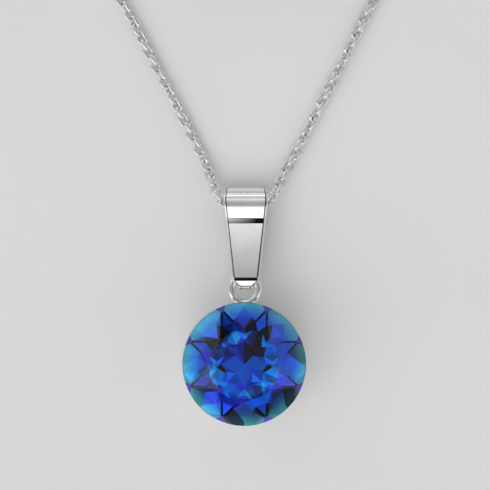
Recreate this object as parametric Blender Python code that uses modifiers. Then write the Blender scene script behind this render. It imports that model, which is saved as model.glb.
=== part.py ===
"""Pendant necklace: a round faceted blue stone glued in a plated cup, hung by a folded bail on a fine
cable chain with a lobster clasp.

The necklace lies flat and face up. +Z points up from the table, +Y from the stone towards the neck.
The origin is the middle of the cup's flat back. The spare chain is wound into a tied coil.
"""

import math

import bmesh
import bpy
from mathutils import Matrix, Vector

MM = 0.001
GAP = 0.03 * MM  # running and seating clearance between neighbours
FULL_TURN = 2 * math.pi

# Stone: an eight-fold cut with a table, kites, stars and rim breaks above, mains and breaks below.
STONE_RADIUS = 4.15 * MM
STONE_SIDES = 64
CULET_Z = 0.42 * MM
PAVILION_ANGLE = math.radians(41.0)
PAVILION_BREAK_ANGLE = math.radians(47.0)
PAVILION_BREAK_REACH = 0.9  # share of the radius where a lower break starts
GIRDLE_THICKNESS = 0.12 * MM
KITE_ANGLE = math.radians(38.0)
TABLE_CORNER = 0.56  # share of the radius
RIM_BREAK_ANGLE = math.radians(56.0)
RIM_BREAK_REACH = 0.9
EIGHTH = FULL_TURN / 8

# Cup behind the stone
CUP_BACK_RADIUS = 2.9 * MM
CUP_WALL_RADIUS = 3.9 * MM
CUP_RIM_RADIUS = 3.97 * MM
CUP_WALL = 0.26 * MM
CUP_FLOOR = 0.34 * MM
CUP_SHOULDER_Z = 1.3 * MM
ADHESIVE_TOP = 1.7 * MM

# Eye on the cup's edge
EYE_CENTRE = Vector((0.03, 5.0, 2.2)) * MM
EYE_RING_RADIUS = 0.85 * MM
EYE_WIRE_RADIUS = 0.22 * MM

# Bail: one strip folded into a closed loop, narrow in the eye and wide at the chain
BAIL_X = 0.1 * MM
BAIL_THICKNESS = 0.25 * MM
BAIL_TOP_Y = 11.9 * MM
BAIL_FOLD_Y = 5.0 * MM
BAIL_ROLL_RADIUS = 1.15 * MM
BAIL_FOLD_HALF_DEPTH = 0.8 * MM
BAIL_FOLD_CORNER = 0.38 * MM
BAIL_ROLL_Z = BAIL_ROLL_RADIUS + 0.03 * MM
BAIL_HALF_WIDTHS = (  # distance from the fold, half width, both in mm
    (0.0, 0.48),
    (0.3, 0.5),
    (0.5, 0.76),
    (0.9, 0.93),
    (5.9, 1.5),
    (6.5, 1.47),
    (7.2, 1.33),
)

# Chain
CHAIN_RADIUS = 0.34 * MM
CHAIN_POINT_SPACING = 1.0 * MM
END_POINT_SPACING = 0.6 * MM
CHAIN_ROUTE = (  # from beside the coil, down through the bail and back to the coil, in mm
    (-6.46, 34.6, 0.6),
    (-6.9, 32.4, 0.45),
    (-8.0, 30.0, 0.42),
    (-8.95, 27.6, 0.42),
    (-8.75, 25.5, 0.42),
    (-7.63, 23.3, 0.42),
    (-6.47, 21.07, 0.42),
    (-4.61, 17.49, 0.42),
    (-3.15, 14.66, 0.43),
    (-2.4, 12.95, 0.62),
    (-2.12, 12.2, 0.86),
    (-1.88, 11.5, 1.08),
    (-1.42, 10.97, 1.16),
    (-0.7, 10.8, 1.16),
    (0.9, 10.8, 1.16),
    (1.62, 10.97, 1.16),
    (2.08, 11.5, 1.08),
    (2.34, 12.1, 0.86),
    (2.74, 12.9, 0.62),
    (3.55, 14.4, 0.43),
    (4.98, 17.13, 0.42),
    (6.82, 20.75, 0.42),
    (8.19, 23.47, 0.42),
    (9.1, 25.4, 0.42),
    (9.35, 27.6, 0.42),
    (8.4, 30.0, 0.8),
    (7.3, 32.4, 1.6),
    (6.86, 34.6, 2.0),
)
COIL_CENTRE = Vector((0.2, 33.6, 0.0)) * MM
COIL_INNER_RADIUS = 2.56 * MM
COIL_OUTER_RADIUS = 6.24 * MM
COIL_BOTTOM = 0.24 * MM
COIL_TOP = 3.48 * MM
COIL_CORNER = 0.6 * MM
TIE_THICKNESS = 0.16 * MM
TIE_WIDTH = 1.1 * MM
LEFT_END_ROUTE = (
    (-5.0, 37.9, 1.4),
    (-3.9, 39.1, 0.8),
    (-3.0, 40.4, 1.05),
    (-2.8, 41.55, 1.2),
)
RIGHT_END_ROUTE = (
    (5.4, 37.9, 3.1),
    (5.3, 39.3, 1.9),
    (5.0, 40.7, 0.7),
    (4.9, 41.85, 0.42),
)

# Rings on the chain's two ends
JUMP_RING_RADIUS = 1.0 * MM
JUMP_WIRE_RADIUS = 0.18 * MM
JUMP_RING_CENTRE = Vector((-2.8, 42.82, 1.2)) * MM
END_RING_RADIUS = 1.25 * MM
END_WIRE_RADIUS = 0.22 * MM
END_RING_CENTRE = Vector((4.9, 43.4, 0.24)) * MM

# Lobster clasp, lying flat and pointing to +Y. Its own u runs from the tail to the nose, v to +X.
CLASP_TAIL = Vector((-2.8, 42.9, 0.0)) * MM  # where u and v are 0
CLASP_BOTTOM = 0.03 * MM
CLASP_THICKNESS = 1.5 * MM
CLASP_OUTER = (4.9, 3.4, 1.85)  # middle, half length and half width of the outline, in mm
CLASP_INNER = (5.15, 2.15, 0.95)
CLASP_MOUTH = (34, 112)  # degrees round the outline between the hook's tip and the shoulder
CLASP_BEVEL = 0.16 * MM
TAIL_TAB_THICKNESS = 0.4 * MM
TAIL_TAB_Z = 0.52 * MM
TAIL_HALF_WIDTH = 0.85 * MM
TAIL_HOLE_U = 0.8 * MM
TAIL_HOLE_RADIUS = 0.55 * MM
PIVOT = (3.05, 1.12)  # u and v, in mm
GATE_REACH = 4.25 * MM  # from the pivot to the gate's tip
GATE_INNER = (5.15, 2.3, 1.25)
PIN_RADIUS = 0.18 * MM
SLOT_BOTTOM = 0.3 * MM
SLOT_TOP = 1.26 * MM
LEVER_KNUCKLE_RADIUS = 0.46 * MM
LEVER_BOTTOM = 0.35 * MM
LEVER_TOP = 1.2 * MM
LEVER_KNUCKLE_TOP = 0.8 * MM
SPRING_COIL_RADIUS = 0.3 * MM
SPRING_WIRE_RADIUS = 0.05 * MM
SPRING_TURNS = 2.5


def clear_scene():
    for item in list(bpy.data.objects):
        bpy.data.objects.remove(item, do_unlink=True)


def new_collection(name):
    collection = bpy.data.collections.new(name)
    bpy.context.scene.collection.children.link(collection)
    return collection


def new_material(name, colour, roughness, metallic):
    material = bpy.data.materials.new(name)
    material.use_nodes = True
    shader = material.node_tree.nodes["Principled BSDF"]
    shader.inputs["Base Color"].default_value = (*colour, 1)
    shader.inputs["Roughness"].default_value = roughness
    shader.inputs["Metallic"].default_value = metallic
    return material


clear_scene()
NECKLACE = new_collection("pendant_necklace")
CUTTERS = new_collection("cutters")

SILVER = (0.86, 0.86, 0.85)
MATERIALS = {
    "crystal_glass": new_material("crystal_glass", (0.02, 0.1, 0.6), 0.03, 0.0),
    "adhesive_resin": new_material("adhesive_resin", (0.75, 0.72, 0.6), 0.35, 0.0),
    "cup_silver": new_material("cup_silver", SILVER, 0.2, 1.0),
    "eye_silver": new_material("eye_silver", SILVER, 0.15, 1.0),
    "bail_silver": new_material("bail_silver", SILVER, 0.1, 1.0),
    "chain_silver": new_material("chain_silver", SILVER, 0.2, 1.0),
    "ring_silver": new_material("ring_silver", SILVER, 0.18, 1.0),
    "clasp_silver": new_material("clasp_silver", SILVER, 0.22, 1.0),
    "spring_steel": new_material("spring_steel", (0.55, 0.55, 0.56), 0.35, 1.0),
    "tie_paper": new_material("tie_paper", (0.85, 0.84, 0.8), 0.7, 0.0),
}


def add_object(name, mesh, material, collection=NECKLACE):
    item = bpy.data.objects.new(name, mesh)
    collection.objects.link(item)
    if material:
        mesh.materials.append(MATERIALS[material])
    return item


def hide_cutter(item):
    item.hide_render = True
    item.display_type = "WIRE"
    for collection in list(item.users_collection):
        collection.objects.unlink(item)
    CUTTERS.objects.link(item)
    return item


def smooth(item, angle=35):
    item.data.shade_smooth()
    item.data.set_sharp_from_angle(angle=math.radians(angle))


def set_origin(item, point):
    """Moves the object's origin to a point in the world, and leaves its shape where it is."""
    item.data.transform(Matrix.Translation(item.location - Vector(point)))
    item.location = point


def arc(centre, radius, start, end, steps):
    """Points round a circle in a plane, from one angle in degrees to another."""
    angles = [math.radians(start + (end - start) * i / steps) for i in range(steps + 1)]
    return [(centre[0] + radius * math.cos(a), centre[1] + radius * math.sin(a)) for a in angles]


def mesh_from_curve(curve_object):
    """The evaluated curve as a mesh object with welded caps, in place of the curve."""
    graph = bpy.context.evaluated_depsgraph_get()
    mesh = bpy.data.meshes.new_from_object(curve_object.evaluated_get(graph))
    work = bmesh.new()
    work.from_mesh(mesh)
    bmesh.ops.remove_doubles(work, verts=work.verts, dist=1e-7)
    bmesh.ops.recalc_face_normals(work, faces=work.faces)
    work.to_mesh(mesh)
    work.free()
    name = curve_object.name
    collection = curve_object.users_collection[0]
    matrix = curve_object.matrix_world.copy()
    bpy.data.objects.remove(curve_object, do_unlink=True)
    solid = bpy.data.objects.new(name, mesh)
    solid.matrix_world = matrix
    collection.objects.link(solid)
    return solid


def tube(name, points, radius, material):
    """A round wire with filled caps along a line of points."""
    curve = bpy.data.curves.new(name, "CURVE")
    curve.dimensions = "3D"
    curve.bevel_depth = radius
    curve.bevel_resolution = 2
    curve.use_fill_caps = True
    spline = curve.splines.new("POLY")
    spline.points.add(len(points) - 1)
    for target, point in zip(spline.points, points, strict=True):
        target.co = (*point, 1)
    return add_object(name, curve, material)


def ring(name, centre, ring_radius, wire_radius, material, axis="Z"):
    """A closed wire ring whose own axis is the named world axis."""
    turns = {"Z": (0, 0, 0), "X": (0, math.pi / 2, 0), "Y": (math.pi / 2, 0, 0)}
    bpy.ops.mesh.primitive_torus_add(
        major_radius=ring_radius,
        minor_radius=wire_radius,
        major_segments=36,
        minor_segments=12,
    )
    item = bpy.context.object
    item.name = name
    item.data.transform(Matrix.Rotation(turns[axis][0], 4, "X") @ Matrix.Rotation(turns[axis][1], 4, "Y"))
    item.data.transform(Matrix.Translation(centre))
    for collection in list(item.users_collection):
        collection.objects.unlink(item)
    NECKLACE.objects.link(item)
    item.data.materials.append(MATERIALS[material])
    item.data.shade_smooth()
    return item


def turned(name, profile, material, steps=48):
    """A solid of revolution about Z from points (radius, height) that run down its outer side."""
    mesh = bpy.data.meshes.new(name)
    points = [(r, 0, z) for r, z in profile]
    edges = [(i, i + 1) for i in range(len(points) - 1)]
    mesh.from_pydata(points, edges, [])
    item = add_object(name, mesh, material)
    screw = item.modifiers.new("turn", "SCREW")
    screw.steps = screw.render_steps = steps
    screw.use_merge_vertices = True
    screw.merge_threshold = 1e-7
    return item


def plate(name, outlines, bottom, top, material):
    """A flat solid between two heights, from closed outlines in the XY plane."""
    curve = bpy.data.curves.new(name, "CURVE")
    curve.dimensions = "2D"
    curve.fill_mode = "BOTH"
    curve.extrude = (top - bottom) / 2
    for outline in outlines:
        spline = curve.splines.new("POLY")
        spline.points.add(len(outline) - 1)
        spline.use_cyclic_u = True
        for target, (x, y) in zip(spline.points, outline, strict=True):
            target.co = (x, y, 0, 1)
    item = bpy.data.objects.new(name, curve)
    NECKLACE.objects.link(item)
    solid = mesh_from_curve(item)
    solid.data.transform(Matrix.Translation((0, 0, (top + bottom) / 2)))
    if material:
        solid.data.materials.append(MATERIALS[material])
    return solid


def cylinder(name, centre, radius, bottom, top, material=None, sides=24):
    bpy.ops.mesh.primitive_cylinder_add(
        vertices=sides,
        radius=radius,
        depth=top - bottom,
        location=(centre[0], centre[1], (top + bottom) / 2),
    )
    item = bpy.context.object
    item.name = name
    for collection in list(item.users_collection):
        collection.objects.unlink(item)
    NECKLACE.objects.link(item)
    if material:
        item.data.materials.append(MATERIALS[material])
    return item


def boolean(item, other, operation):
    modifier = item.modifiers.new(other.name, "BOOLEAN")
    modifier.operation = operation
    modifier.solver = "EXACT"
    modifier.object = other
    hide_cutter(other)


def smooth_line(route, spacing):
    """Even points along a Catmull-Rom curve through a route given in millimetres."""
    points = [Vector(p) * MM for p in route]
    points = [2 * points[0] - points[1], *points, 2 * points[-1] - points[-2]]
    fine = []
    for a, b, c, d in zip(points, points[1:], points[2:], points[3:], strict=False):
        for i in range(24):
            t = i / 24
            fine.append(
                0.5 * (2 * b + (c - a) * t + (2 * a - 5 * b + 4 * c - d) * t**2
                       + (3 * b - a - 3 * c + d) * t**3)
            )
    fine.append(points[-2])
    lengths = [0.0]
    for a, b in zip(fine, fine[1:], strict=False):
        lengths.append(lengths[-1] + (b - a).length)
    count = round(lengths[-1] / spacing)
    line = []
    k = 0
    for i in range(count + 1):
        at = lengths[-1] * i / count
        while k < len(fine) - 2 and lengths[k + 1] < at:
            k += 1
        share = (at - lengths[k]) / (lengths[k + 1] - lengths[k])
        line.append(fine[k].lerp(fine[k + 1], share))
    return line


# ---------------------------------------------------------------- stone and setting


def cut_facet(stone, azimuth, normal_angle, point):
    """Grinds one flat facet: a cut through a point, facing out at an angle above or below level."""
    normal = Vector(
        (
            math.sin(normal_angle) * math.cos(azimuth),
            math.sin(normal_angle) * math.sin(azimuth),
            math.cos(normal_angle),
        )
    )
    geometry = stone.verts[:] + stone.edges[:] + stone.faces[:]
    result = bmesh.ops.bisect_plane(
        stone, geom=geometry, plane_co=point, plane_no=normal, clear_outer=True, dist=1e-6
    )
    rim = [e for e in result["geom_cut"] if isinstance(e, bmesh.types.BMEdge)]
    if rim:
        bmesh.ops.edgeloop_fill(stone, edges=[e for e in rim if e.is_boundary])


def make_crystal():
    """Grinds a round rod into the cut stone, in millimetres, then scales it to metres."""
    radius = STONE_RADIUS / MM
    culet = CULET_Z / MM
    girdle_low = culet + radius * math.tan(PAVILION_ANGLE)
    girdle_high = girdle_low + GIRDLE_THICKNESS / MM
    table = girdle_high + (1 - TABLE_CORNER) * radius * math.tan(KITE_ANGLE)
    inset = math.cos(EIGHTH / 2)
    star_angle = math.atan(
        math.tan(KITE_ANGLE) * (inset - TABLE_CORNER) / (1 - TABLE_CORNER * inset)
    )
    break_z = girdle_low - (1 - PAVILION_BREAK_REACH) * radius * math.tan(PAVILION_ANGLE) * inset
    rim_z = table - (RIM_BREAK_REACH - TABLE_CORNER * inset) * radius * math.tan(star_angle)
    stone = bmesh.new()
    bmesh.ops.create_cone(
        stone,
        cap_ends=True,
        segments=STONE_SIDES,
        radius1=radius,
        radius2=radius,
        depth=4 * radius,
    )
    cut_facet(stone, 0, 0, Vector((0, 0, table)))
    for k in range(8):
        on = k * EIGHTH
        between = on + EIGHTH / 2
        cut_facet(stone, on, KITE_ANGLE, direction(on, TABLE_CORNER * radius, table))
        cut_facet(stone, between, star_angle, direction(between, TABLE_CORNER * radius * inset, table))
        cut_facet(stone, between, RIM_BREAK_ANGLE, direction(between, RIM_BREAK_REACH * radius, rim_z))
        cut_facet(stone, between, math.pi - PAVILION_ANGLE, Vector((0, 0, culet)))
        cut_facet(
            stone,
            on,
            math.pi - PAVILION_BREAK_ANGLE,
            direction(on, PAVILION_BREAK_REACH * radius, break_z - 0.05 * radius),
        )
    bmesh.ops.remove_doubles(stone, verts=stone.verts, dist=1e-4)
    bmesh.ops.dissolve_limit(stone, angle_limit=1e-3, verts=stone.verts, edges=stone.edges)
    bmesh.ops.recalc_face_normals(stone, faces=stone.faces)
    mesh = bpy.data.meshes.new("crystal")
    stone.to_mesh(mesh)
    stone.free()
    mesh.transform(Matrix.Scale(MM, 4))
    return add_object("crystal", mesh, "crystal_glass")


def direction(azimuth, radius, height):
    return Vector((radius * math.cos(azimuth), radius * math.sin(azimuth), height))


def seat_height(radius):
    """The lowest that the stone's underside comes at a distance from its axis."""
    return CULET_Z + radius * math.tan(PAVILION_ANGLE) * math.cos(EIGHTH / 2)


def make_cup():
    inner_wall = CUP_WALL_RADIUS - CUP_WALL
    inner_rim = CUP_RIM_RADIUS - CUP_WALL
    corner = CUP_WALL_RADIUS - CUP_BACK_RADIUS
    inner_corner = corner - 0.1 * MM
    inside = arc(
        (inner_wall - inner_corner, CUP_FLOOR + inner_corner), inner_corner, -90, 0, 6
    )
    outside = arc((CUP_BACK_RADIUS, CUP_SHOULDER_Z), corner, 0, -70, 7)
    profile = [(0, CUP_FLOOR), *inside]
    profile += [(inner_rim, seat_height(inner_rim) - GAP), (CUP_RIM_RADIUS, seat_height(CUP_RIM_RADIUS) - GAP)]
    profile += [*outside, (CUP_BACK_RADIUS - 0.1 * MM, 0), (0, 0)]
    cup = turned("setting_cup", profile, "cup_silver")
    smooth(cup)
    return cup


def make_adhesive():
    """The resin bed between the cup's floor and the stone's point."""
    radius = CUP_WALL_RADIUS - CUP_WALL - GAP
    corner = CUP_WALL_RADIUS - CUP_BACK_RADIUS - 0.1 * MM
    seat = (ADHESIVE_TOP - CULET_Z + GAP) / (math.tan(PAVILION_ANGLE) * math.cos(EIGHTH / 2))
    side = arc((radius - corner, CUP_FLOOR + GAP + corner), corner, 0, -90, 6)
    profile = [(0, CULET_Z - GAP), (seat, ADHESIVE_TOP), (radius, ADHESIVE_TOP)]
    profile += [*side, (0, CUP_FLOOR + GAP)]
    bed = turned("adhesive_bed", profile, "adhesive_resin")
    smooth(bed)
    return bed


# ---------------------------------------------------------------- bail


def bail_half_width(distance):
    """Half the strip's width at a distance from the fold, with smooth steps between its stations."""
    stations = [(d * MM, w * MM) for d, w in BAIL_HALF_WIDTHS]
    for (d0, w0), (d1, w1) in zip(stations, stations[1:], strict=False):
        if distance <= d1:
            share = max(0.0, (distance - d0) / (d1 - d0))
            return w0 + (w1 - w0) * share
    return stations[-1][1]


def bail_profile():
    """The strip's middle line seen from the side, as (distance from the fold, height off its middle)."""
    half = BAIL_THICKNESS / 2
    fold_z = EYE_CENTRE.z
    top_y = BAIL_TOP_Y - BAIL_ROLL_RADIUS
    length = math.hypot(top_y - BAIL_FOLD_Y, fold_z - BAIL_ROLL_Z)
    roll = BAIL_ROLL_RADIUS - half
    depth = BAIL_FOLD_HALF_DEPTH - half
    fold = arc((half + BAIL_FOLD_CORNER, depth - BAIL_FOLD_CORNER), BAIL_FOLD_CORNER, 180, 90, 5)
    reach = Vector((length - fold[-1][0], -fold[-1][1]))
    tangent = math.degrees(math.asin(roll / reach.length) + math.atan2(reach.y, reach.x))
    over = arc((length, 0), roll, 90 + tangent, 0, 14)
    front = [(half, 0), *fold]
    for i in range(1, 8):
        a, b = Vector(fold[-1]), Vector(over[0])
        front.append(tuple(a.lerp(b, i / 8)))
    front += over
    back = [(d, -h) for d, h in reversed(front[1:-1])]
    return front + back, length


def make_bail():
    profile, length = bail_profile()
    tilt = math.asin((EYE_CENTRE.z - BAIL_ROLL_Z) / length)
    strip = bmesh.new()
    rows = []
    for distance, height in profile:
        half_width = bail_half_width(distance)
        rows.append([strip.verts.new((x, distance, height)) for x in (half_width, 0, -half_width)])
    for a, b in zip(rows, rows[1:] + rows[:1], strict=True):
        for i in range(2):
            strip.faces.new((a[i], a[i + 1], b[i + 1], b[i]))
    bmesh.ops.recalc_face_normals(strip, faces=strip.faces)
    mesh = bpy.data.meshes.new("bail")
    strip.to_mesh(mesh)
    strip.free()
    place = Matrix.Translation((BAIL_X, BAIL_FOLD_Y, EYE_CENTRE.z)) @ Matrix.Rotation(-tilt, 4, "X")
    mesh.transform(place)
    bail = add_object("bail", mesh, "bail_silver")
    wall = bail.modifiers.new("strip thickness", "SOLIDIFY")
    wall.thickness = BAIL_THICKNESS
    wall.offset = 0
    wall.use_even_offset = True
    set_origin(bail, (BAIL_X, BAIL_TOP_Y - BAIL_ROLL_RADIUS, BAIL_ROLL_Z))
    smooth(bail)
    return bail


# ---------------------------------------------------------------- chain


def make_chain():
    front = smooth_line(CHAIN_ROUTE, CHAIN_POINT_SPACING)
    left_end = smooth_line(LEFT_END_ROUTE, END_POINT_SPACING)
    right_end = smooth_line(RIGHT_END_ROUTE, END_POINT_SPACING)
    tube("chain", front, CHAIN_RADIUS, "chain_silver")
    tube("chain_end_left", left_end, CHAIN_RADIUS, "chain_silver")
    tube("chain_end_right", right_end, CHAIN_RADIUS, "chain_silver")


def rounded_section(inner, outer, bottom, top, corner):
    """A rounded rectangle of (radius, height) points that starts and ends inside and runs down outside."""
    points = arc((inner + corner, top - corner), corner, 180, 90, 3)
    points += arc((outer - corner, top - corner), corner, 90, 0, 3)
    points += arc((outer - corner, bottom + corner), corner, 0, -90, 3)
    points += arc((inner + corner, bottom + corner), corner, -90, -180, 3)
    return [*points, points[0]]


def make_coil():
    section = rounded_section(
        COIL_INNER_RADIUS, COIL_OUTER_RADIUS, COIL_BOTTOM, COIL_TOP, COIL_CORNER
    )
    coil = turned("chain_coil", section, "chain_silver")
    coil.location = COIL_CENTRE
    smooth(coil)
    return coil


def make_tie():
    """A paper-covered wire tie bent round the coil's turns, on the side away from the stone."""
    corner = COIL_CORNER + GAP
    low, high = COIL_BOTTOM - GAP, COIL_TOP + GAP
    bow = COIL_INNER_RADIUS - math.sqrt(COIL_INNER_RADIUS**2 - (TIE_WIDTH / 2) ** 2)
    near, far = COIL_INNER_RADIUS - bow - GAP, COIL_OUTER_RADIUS + GAP
    inner = rounded_section(near, far, low, high, corner)[:-1]
    outer = rounded_section(
        near - TIE_THICKNESS,
        far + TIE_THICKNESS,
        low - TIE_THICKNESS,
        high + TIE_THICKNESS,
        corner + TIE_THICKNESS,
    )[:-1]
    band = plate("coil_tie", [outer, inner], -TIE_WIDTH / 2, TIE_WIDTH / 2, "tie_paper")
    stand = Matrix(((0, 0, 1), (1, 0, 0), (0, 1, 0))).to_4x4()
    band.data.transform(Matrix.Translation(COIL_CENTRE) @ stand)
    smooth(band)
    return band


# ---------------------------------------------------------------- clasp


def clasp_point(u, v):
    """A point of the clasp's own plane, in metres, in the world's XY plane."""
    return (CLASP_TAIL.x + v, CLASP_TAIL.y + u)


def ellipse_arc(shape, start, end, steps):
    """Points round one of the clasp's outlines; the angle runs from the nose towards +v."""
    middle, half_length, half_width = (s * MM for s in shape)
    points = []
    for i in range(steps + 1):
        a = math.radians(start + (end - start) * i / steps)
        points.append(clasp_point(middle + half_length * math.cos(a), half_width * math.sin(a)))
    return points


def bevel(item, width):
    modifier = item.modifiers.new("rounded edges", "BEVEL")
    modifier.width = width
    modifier.segments = 2
    modifier.limit_method = "ANGLE"
    modifier.angle_limit = math.radians(40)
    return modifier


def apply_modifiers(item):
    """Turns the shape that the modifiers give into the object's own mesh."""
    graph = bpy.context.evaluated_depsgraph_get()
    mesh = bpy.data.meshes.new_from_object(item.evaluated_get(graph))
    item.modifiers.clear()
    item.data = mesh


def make_clasp_body():
    bottom, top = CLASP_BOTTOM, CLASP_BOTTOM + CLASP_THICKNESS
    tip, shoulder = CLASP_MOUTH
    outline = ellipse_arc(CLASP_OUTER, tip, shoulder - 360, 36)
    outline += ellipse_arc(CLASP_INNER, shoulder - 360, tip, 30)
    body = plate("clasp_body", [outline], bottom, top, "clasp_silver")
    bevel(body, CLASP_BEVEL)
    hole_centre = clasp_point(TAIL_HOLE_U, 0)
    tab_top = TAIL_TAB_Z + TAIL_TAB_THICKNESS
    tab_outline = arc(hole_centre, TAIL_HALF_WIDTH, 180, 360, 14)
    tab_outline += [
        (hole_centre[0] + TAIL_HALF_WIDTH, hole_centre[1] + 1.4 * MM),
        (hole_centre[0] - TAIL_HALF_WIDTH, hole_centre[1] + 1.4 * MM),
    ]
    boolean(body, plate("tail_tab", [tab_outline], TAIL_TAB_Z, tab_top, None), "UNION")
    tail_hole = cylinder("tail_hole", hole_centre, TAIL_HOLE_RADIUS, -MM, 3 * MM)
    boolean(body, tail_hole, "DIFFERENCE")
    pivot = clasp_point(PIVOT[0] * MM, PIVOT[1] * MM)
    reach = LEVER_KNUCKLE_RADIUS + 0.06 * MM
    slot_outline = arc(pivot, reach, 200, 340, 10)
    slot_outline += [(pivot[0] + 1.2 * MM, pivot[1] + 2.2 * MM), (pivot[0] - 1.2 * MM, pivot[1] + 2.2 * MM)]
    boolean(body, plate("lever_slot", [slot_outline], SLOT_BOTTOM, SLOT_TOP, None), "DIFFERENCE")
    swept = arc(pivot, GATE_REACH + GAP, 70, 118, 12) + arc(pivot, 2.5 * MM, 118, 70, 6)
    boolean(body, plate("gate_sweep", [swept], -MM, 3 * MM, None), "DIFFERENCE")
    pin_hole = cylinder("pin_hole", pivot, PIN_RADIUS + 0.02 * MM, -MM, 3 * MM, sides=20)
    boolean(body, pin_hole, "DIFFERENCE")
    smooth(body)
    return body


def make_clasp_lever():
    """The gate that shuts the hook's mouth, with its knuckle round the pin and its thumb nub."""
    tip = CLASP_MOUTH[0]
    outline = ellipse_arc(CLASP_OUTER, tip - 8, 84, 12)
    nub_middle = clasp_point(4.35 * MM, 1.95 * MM)
    outline += arc(nub_middle, 0.42 * MM, 60, -110, 8)
    pivot = clasp_point(PIVOT[0] * MM, PIVOT[1] * MM)
    outline += arc(pivot, LEVER_KNUCKLE_RADIUS, 0, -180, 10)
    outline += ellipse_arc(GATE_INNER, 120, tip - 8, 12)
    lever = plate("clasp_lever", [outline], LEVER_BOTTOM, LEVER_TOP, "clasp_silver")
    bevel(lever, 0.08 * MM)
    reach = cylinder("gate_reach", pivot, GATE_REACH, -MM, 3 * MM, sides=96)
    boolean(lever, reach, "INTERSECT")
    room = cylinder("spring_room", pivot, LEVER_KNUCKLE_RADIUS + 0.12 * MM, LEVER_KNUCKLE_TOP, 2 * MM)
    boolean(lever, room, "DIFFERENCE")
    lever_hole = cylinder("lever_hole", pivot, PIN_RADIUS + 0.03 * MM, -MM, 3 * MM, sides=20)
    boolean(lever, lever_hole, "DIFFERENCE")
    apply_modifiers(lever)
    set_origin(lever, (*pivot, (LEVER_BOTTOM + LEVER_TOP) / 2))
    smooth(lever)
    return lever


def make_clasp_pin():
    pivot = clasp_point(PIVOT[0] * MM, PIVOT[1] * MM)
    top = CLASP_BOTTOM + CLASP_THICKNESS
    pin = cylinder("clasp_pin", pivot, PIN_RADIUS, CLASP_BOTTOM, top, "clasp_silver", sides=20)
    smooth(pin)
    return pin


def make_clasp_spring():
    """A torsion spring round the pin, above the lever's knuckle."""
    pivot = clasp_point(PIVOT[0] * MM, PIVOT[1] * MM)
    low = LEVER_KNUCKLE_TOP + SPRING_WIRE_RADIUS + GAP
    high = SLOT_TOP - SPRING_WIRE_RADIUS - GAP
    count = round(12 * SPRING_TURNS)
    points = []
    for i in range(count + 1):
        a = FULL_TURN * SPRING_TURNS * i / count
        x = pivot[0] + SPRING_COIL_RADIUS * math.cos(a)
        y = pivot[1] + SPRING_COIL_RADIUS * math.sin(a)
        points.append((x, y, low + (high - low) * i / count))
    return tube("clasp_spring", points, SPRING_WIRE_RADIUS, "spring_steel")


make_crystal()
make_cup()
make_adhesive()
ring("setting_eye", EYE_CENTRE, EYE_RING_RADIUS, EYE_WIRE_RADIUS, "eye_silver")
make_bail()
make_chain()
make_coil()
make_tie()
ring("clasp_jump_ring", JUMP_RING_CENTRE, JUMP_RING_RADIUS, JUMP_WIRE_RADIUS, "ring_silver", "X")
ring("end_ring", END_RING_CENTRE, END_RING_RADIUS, END_WIRE_RADIUS, "ring_silver")
make_clasp_body()
make_clasp_lever()
make_clasp_pin()
make_clasp_spring()

# Each swinging piece has its origin on the axis that it swings about.
PIVOTS = {
    ("setting_cup", "setting_eye", "adhesive_bed", "crystal"): EYE_CENTRE + Vector((0, EYE_RING_RADIUS, 0)),
    ("clasp_jump_ring",): JUMP_RING_CENTRE - Vector((0, JUMP_RING_RADIUS, 0)),
    ("clasp_body",): JUMP_RING_CENTRE,
    ("end_ring",): END_RING_CENTRE - Vector((0, END_RING_RADIUS, 0)),
}
for names, point in PIVOTS.items():
    for name in names:
        item = bpy.data.objects[name]
        apply_modifiers(item)
        set_origin(item, point)
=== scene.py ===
"""Looks of the pendant necklace: linked chain, faceted stone, rolled bail, rings, clasp and tie.

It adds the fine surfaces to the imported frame. The necklace lies face up on a pale table, seen from
straight above, with +Y up the picture. Shapes are worked out in millimetres and built in metres.
"""

import math

import bmesh
import bpy
from mathutils import Matrix, Vector
from mathutils.noise import turbulence


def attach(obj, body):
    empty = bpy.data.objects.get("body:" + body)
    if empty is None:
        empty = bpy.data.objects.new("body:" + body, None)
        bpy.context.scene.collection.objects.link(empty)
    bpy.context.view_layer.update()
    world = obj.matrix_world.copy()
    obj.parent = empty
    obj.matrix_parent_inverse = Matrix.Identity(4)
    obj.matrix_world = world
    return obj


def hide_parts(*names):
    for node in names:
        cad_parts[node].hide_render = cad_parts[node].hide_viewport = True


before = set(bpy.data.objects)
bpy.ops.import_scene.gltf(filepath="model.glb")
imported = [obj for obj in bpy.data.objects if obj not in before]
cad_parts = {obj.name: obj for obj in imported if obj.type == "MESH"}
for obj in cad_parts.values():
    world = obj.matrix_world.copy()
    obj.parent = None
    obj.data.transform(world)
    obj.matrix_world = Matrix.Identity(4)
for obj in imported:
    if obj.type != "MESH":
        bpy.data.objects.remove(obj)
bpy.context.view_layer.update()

MM = 0.001
FULL_TURN = 2 * math.pi
EIGHTH = FULL_TURN / 8

# Camera: the view is this wide, and its middle is this point on the table
VIEW_WIDTH = 33.1 * MM
VIEW_CENTRE = Vector((0.05, 8.0, 2.5)) * MM
CAMERA_HEIGHT = 0.3

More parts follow.
